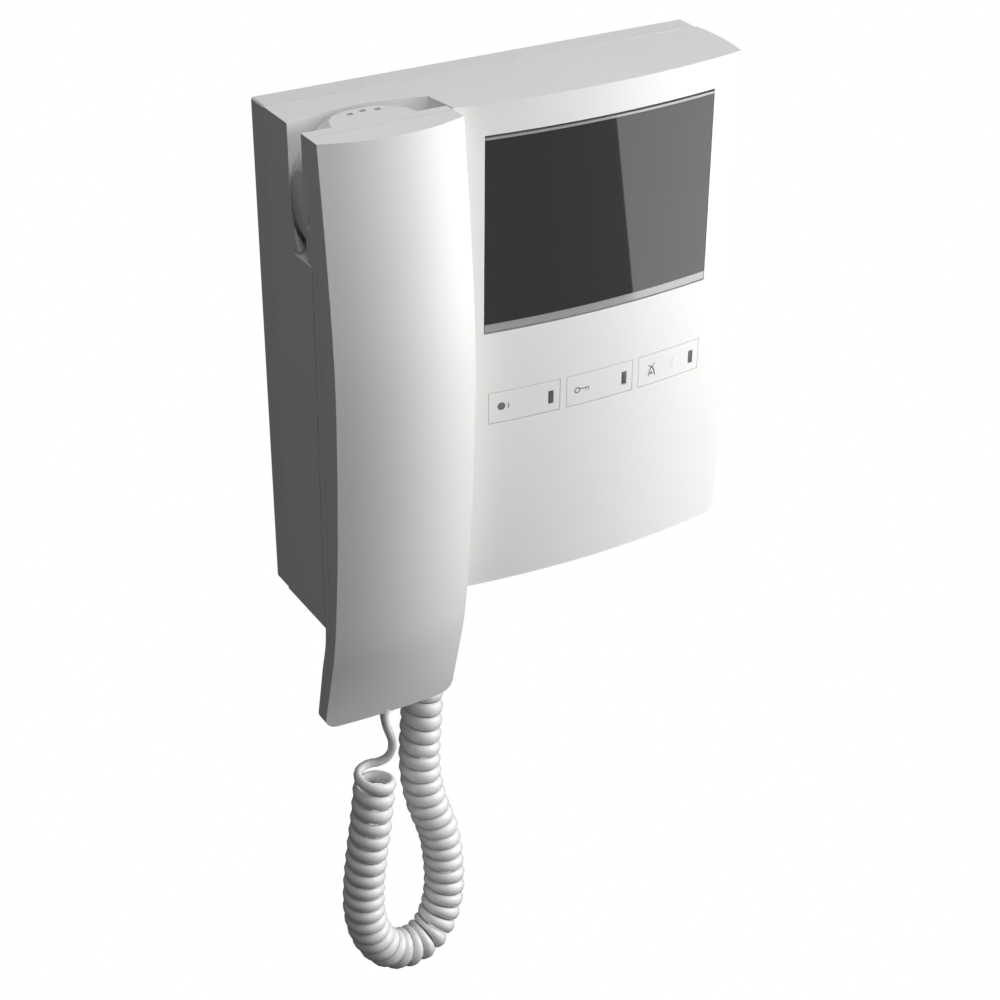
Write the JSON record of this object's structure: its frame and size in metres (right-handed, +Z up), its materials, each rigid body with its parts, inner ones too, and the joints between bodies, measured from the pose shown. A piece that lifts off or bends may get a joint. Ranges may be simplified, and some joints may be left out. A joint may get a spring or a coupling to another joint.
{
  "type": "video intercom monitor",
  "caption": "Wall-mounted video intercom monitor with a handset in a side pocket, a curly cord, a display window and push buttons.",
  "frame": {"origin": "centre of the wall plate's flat back face, which lies on the wall", "axes": "+X to the user's right, +Y into the wall so the front faces -Y, +Z up"},
  "size_m": [0.1645, 0.0595, 0.3461],
  "materials": {
    "housing": "satin white ABS",
    "plate": "satin off-white ABS",
    "window": "gloss dark tinted acrylic",
    "trim": "silver print under gloss acrylic",
    "indicator": "smoked light pipe",
    "panel": "unlit display panel",
    "steel": "zinc plated",
    "board": "green circuit board",
    "component": "black moulded",
    "terminal": "green moulded",
    "rubber": "soft black",
    "cord": "glossy white PVC"
  },
  "bodies": {
    "base": {"wall_plate": "plate", "front_cover": "housing", "display_window": "window", "window_trim_bottom": "trim", "window_trim_top": "trim", "display_panel": "panel", "display_bracket": "steel", "display_board": "board", "ribbon_cable": "cord", "main_board": "board", "board_screw_1": "steel", "board_screw_2": "steel", "board_screw_3": "steel", "board_screw_4": "steel", "filter_capacitor": "component", "door_relay": "component", "terminal_block": "terminal", "button_board": "board", "button_board_screw_left": "steel", "button_board_screw_right": "steel", "talk_switch": "component", "door_switch": "component", "privacy_switch": "component", "call_sounder": "component", "volume_pot": "component", "brightness_pot": "component", "hook_pin": "steel", "hook_spring": "steel", "hook_switch": "component", "cover_screw_left": "steel", "cover_screw_right": "steel", "cord_gland_body": "cord", "cord_body_tail": "cord"},
    "handset": {"handset_front_shell": "housing", "handset_back_shell": "housing", "earpiece_capsule": "component", "earpiece_gasket": "rubber", "microphone_capsule": "component", "microphone_boot": "rubber", "handset_ballast": "steel", "handset_screw_upper": "steel", "handset_screw_lower": "steel", "cord_gland_handset": "cord", "cord_handset_tail": "cord", "cord_coil": "cord"},
    "hook_lever": {"hook_lever": "component"},
    "talk_button": {"talk_button": "housing", "talk_indicator": "indicator"},
    "door_button": {"door_button": "housing", "door_indicator": "indicator"},
    "privacy_button": {"privacy_button": "housing", "privacy_indicator": "indicator"},
    "volume_wheel": {"volume_wheel": "component"},
    "brightness_wheel": {"brightness_wheel": "component"}
  },
  "joints": [
    {"name": "handset_lift", "type": "slide", "parent": "base", "child": "handset", "axis": [0, -1, 0], "range_m": [0, 0.045]},
    {"name": "hook_lever_turn", "type": "hinge", "parent": "base", "child": "hook_lever", "pos_m": [-0.056, -0.029, -0.03], "axis": [1, 0, 0], "range_deg": [0, 8.2]},
    {"name": "talk_press", "type": "slide", "parent": "base", "child": "talk_button", "axis": [0, 1, 0], "range_m": [0, 0.001], "stiffness_N_per_m": 800},
    {"name": "door_press", "type": "slide", "parent": "base", "child": "door_button", "axis": [0, 1, 0], "range_m": [0, 0.001], "stiffness_N_per_m": 800},
    {"name": "privacy_press", "type": "slide", "parent": "base", "child": "privacy_button", "axis": [0, 1, 0], "range_m": [0, 0.001], "stiffness_N_per_m": 800},
    {"name": "volume_turn", "type": "hinge", "parent": "base", "child": "volume_wheel", "pos_m": [0.0745, -0.0194, -0.04], "axis": [0, -1, 0], "range_deg": [-135, 135]},
    {"name": "brightness_turn", "type": "hinge", "parent": "base", "child": "brightness_wheel", "pos_m": [0.0745, -0.0194, -0.062], "axis": [0, -1, 0], "range_deg": [-135, 135]}
  ],
  "couplings": [
    {"joint": "hook_lever_turn", "follows": "handset_lift", "rad_per_m": 3.1}
  ]
}
